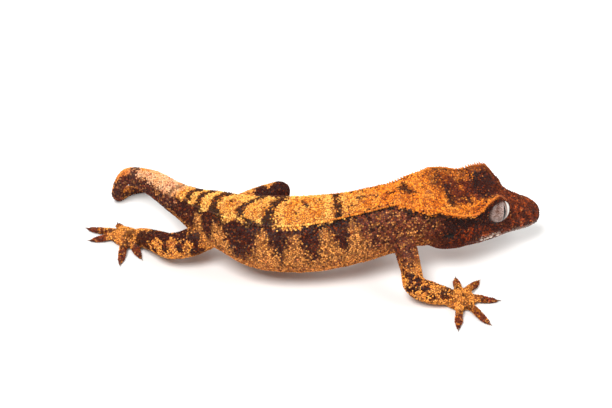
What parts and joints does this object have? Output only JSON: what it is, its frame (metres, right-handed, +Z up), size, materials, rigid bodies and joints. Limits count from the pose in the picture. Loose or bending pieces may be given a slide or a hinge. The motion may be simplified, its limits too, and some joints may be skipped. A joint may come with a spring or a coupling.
{
  "type": "crested gecko",
  "caption": "Life-size still model of a crested gecko in a walking pose: bowed trunk, spined crests, lidless eyes, padded toes and a tail that arches down to the floor.",
  "frame": {"origin": "centre of the bounding box in plan, on the floor under the soles", "axes": "+X towards the head, +Y towards the animal's left, +Z up"},
  "size_m": [0.1274, 0.0662, 0.026],
  "materials": {
    "head_skin": "dry granular skin, red-brown with an orange crown",
    "body_skin": "dry granular skin, orange back with chocolate crossbars and dark mottled sides",
    "tail_skin": "dry granular skin, cream and orange above, purple-brown sides",
    "limb_skin": "dry granular skin, orange with dark mottling",
    "claw": "dark horn",
    "eye": "wet, silver-grey with a slit pupil"
  },
  "bodies": {
    "root": {"head": "head_skin", "left_eye": "eye", "right_eye": "eye", "neck": "body_skin", "torso_chest": "body_skin", "torso_belly": "body_skin", "hips": "body_skin", "tail_base": "tail_skin", "tail_arch": "tail_skin", "tail_end": "tail_skin", "right_upper_arm": "limb_skin", "right_forearm": "limb_skin", "right_hand": "limb_skin", "left_upper_arm": "limb_skin", "left_forearm": "limb_skin", "left_hand": "limb_skin", "right_thigh": "limb_skin", "right_shank": "limb_skin", "right_foot": "limb_skin", "left_thigh": "limb_skin", "left_shank": "limb_skin", "left_foot": "limb_skin"}
  },
  "joints": []
}
